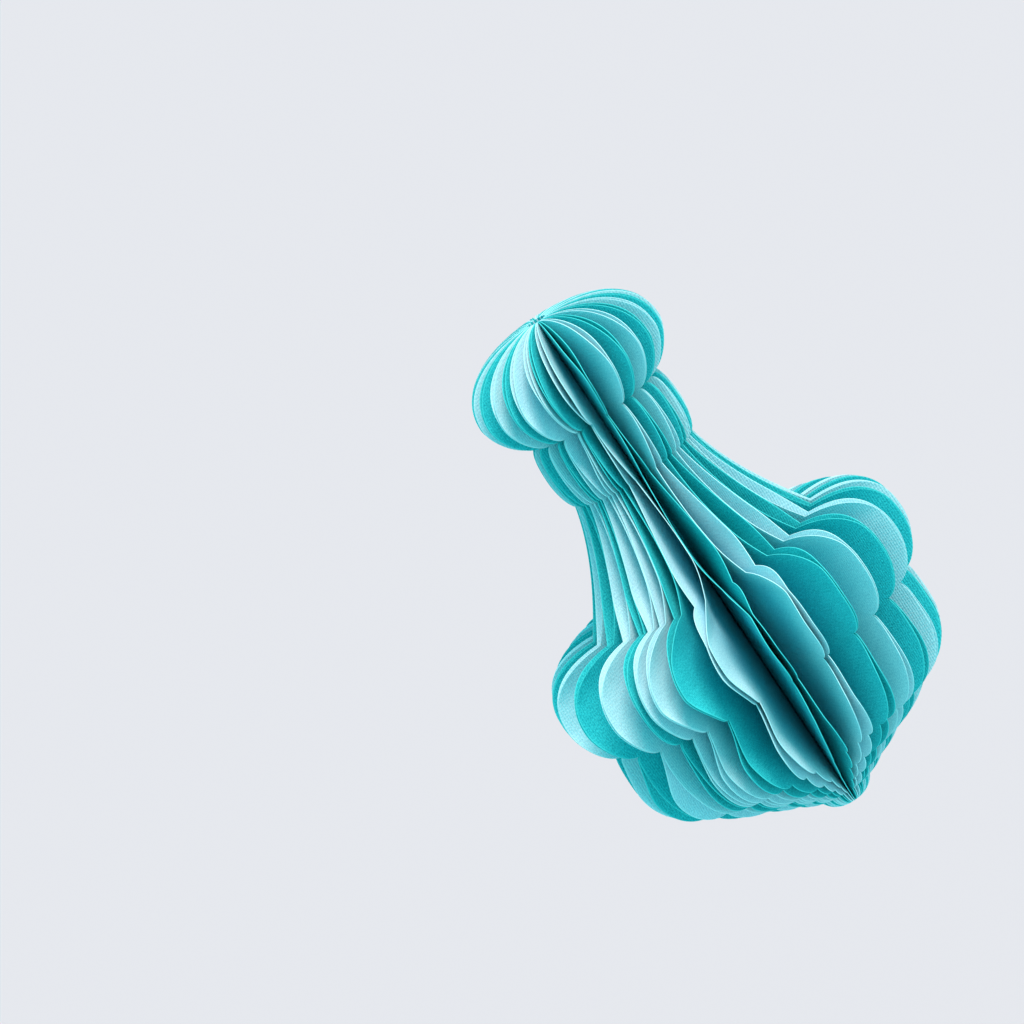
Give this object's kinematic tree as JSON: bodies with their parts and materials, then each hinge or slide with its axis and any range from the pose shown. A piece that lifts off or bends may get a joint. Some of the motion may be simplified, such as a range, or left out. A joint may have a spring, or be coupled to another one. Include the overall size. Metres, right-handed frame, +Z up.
{
  "type": "paper bauble",
  "caption": "Hanging bauble of folded paper sheets set around an axis, with a round head, a flared neck, a wide scalloped belly and a blunt tip, in pale aqua and teal.",
  "frame": {"origin": "hanging point: the middle of the ring of folds at the top of the bauble, on its axis", "axes": "+Z up along the bauble's axis, from the tip to the hanging point; -Y is the side the picture shows"},
  "size_m": [0.1176, 0.1178, 0.17],
  "materials": {
    "teal_paper": "matt teal laid card, lightly ribbed",
    "pale_paper": "matt pale aqua laid card, lightly ribbed"
  },
  "bodies": {
    "root": {"teal_sheet_01": "teal_paper", "teal_sheet_02": "teal_paper", "teal_sheet_03": "teal_paper", "teal_sheet_04": "teal_paper", "teal_sheet_05": "teal_paper", "teal_sheet_06": "teal_paper", "teal_sheet_07": "teal_paper", "teal_sheet_08": "teal_paper", "teal_sheet_09": "teal_paper", "teal_sheet_10": "teal_paper", "teal_sheet_11": "teal_paper", "teal_sheet_12": "teal_paper", "teal_sheet_13": "teal_paper", "teal_sheet_14": "teal_paper", "teal_sheet_15": "teal_paper", "teal_sheet_16": "teal_paper", "pale_sheet_01": "pale_paper", "pale_sheet_02": "pale_paper", "pale_sheet_03": "pale_paper", "pale_sheet_04": "pale_paper", "pale_sheet_05": "pale_paper", "pale_sheet_06": "pale_paper", "pale_sheet_07": "pale_paper", "pale_sheet_08": "pale_paper", "pale_sheet_09": "pale_paper", "pale_sheet_10": "pale_paper", "pale_sheet_11": "pale_paper", "pale_sheet_12": "pale_paper", "pale_sheet_13": "pale_paper", "pale_sheet_14": "pale_paper", "pale_sheet_15": "pale_paper", "pale_sheet_16": "pale_paper", "pale_sheet_17": "pale_paper"}
  },
  "joints": []
}
